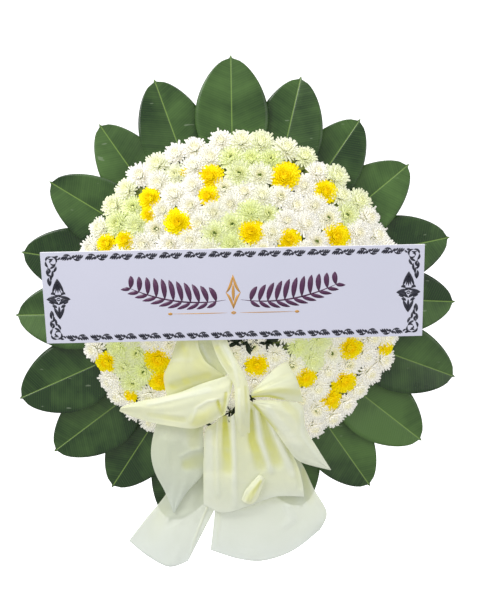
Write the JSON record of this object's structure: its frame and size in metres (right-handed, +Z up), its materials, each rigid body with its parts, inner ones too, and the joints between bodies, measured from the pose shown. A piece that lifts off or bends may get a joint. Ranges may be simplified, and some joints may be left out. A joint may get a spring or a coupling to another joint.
{
  "type": "memorial wreath",
  "caption": "Round funeral wreath: a dome of white and yellow chrysanthemums ringed by rubber-plant leaves, with a sign board across it and a ribbon bow; it hangs on a wire loop.",
  "frame": {"origin": "centre of the back board's rear face, the face that lies against a wall", "axes": "+Z up, the way the wreath hangs; +Y out of the rear face, so the flowers and the sign face -Y; +X to the viewer's right"},
  "size_m": [0.9164, 0.197, 1.033],
  "materials": {
    "plywood": "matte",
    "hanger_wire": "satin",
    "floral_foam": "matte",
    "leaf": "satin",
    "white_petals": "matte",
    "yellow_petals": "matte",
    "sign_board": "satin",
    "bamboo": "matte",
    "ribbon": "matte"
  },
  "bodies": {
    "root": {"back_board": "plywood", "hanger_loop": "hanger_wire", "floral_foam": "floral_foam", "white_flowers_upper": "white_petals", "white_flowers_lower": "white_petals", "sign_board": "sign_board", "sign_stake_left": "bamboo", "sign_stake_right": "bamboo", "bow_pick": "bamboo", "leaf_01": "leaf", "leaf_02": "leaf", "leaf_03": "leaf", "leaf_04": "leaf", "leaf_05": "leaf", "leaf_06": "leaf", "leaf_07": "leaf", "leaf_08": "leaf", "leaf_09": "leaf", "leaf_10": "leaf", "leaf_11": "leaf", "leaf_12": "leaf", "leaf_13": "leaf", "leaf_14": "leaf", "leaf_15": "leaf", "leaf_16": "leaf", "leaf_17": "leaf", "leaf_18": "leaf", "leaf_19": "leaf", "leaf_20": "leaf", "yellow_head_01": "yellow_petals", "yellow_head_02": "yellow_petals", "yellow_head_03": "yellow_petals", "yellow_head_04": "yellow_petals", "yellow_head_05": "yellow_petals", "yellow_head_06": "yellow_petals", "yellow_head_07": "yellow_petals", "yellow_head_08": "yellow_petals", "yellow_head_09": "yellow_petals", "yellow_head_10": "yellow_petals", "yellow_head_11": "yellow_petals", "yellow_head_12": "yellow_petals", "yellow_head_13": "yellow_petals", "yellow_head_14": "yellow_petals", "yellow_head_15": "yellow_petals", "yellow_head_16": "yellow_petals", "yellow_head_17": "yellow_petals", "yellow_head_18": "yellow_petals", "yellow_head_19": "yellow_petals", "yellow_head_20": "yellow_petals", "yellow_head_21": "yellow_petals", "yellow_head_22": "yellow_petals", "bow_loop_upper_left": "ribbon", "bow_loop_left": "ribbon", "bow_loop_right": "ribbon", "bow_centre_band": "ribbon", "bow_tail_right": "ribbon", "bow_tail_centre_front": "ribbon", "bow_tail_centre_back": "ribbon", "bow_tail_left": "ribbon", "bow_tail_lower_left": "ribbon"}
  },
  "joints": []
}
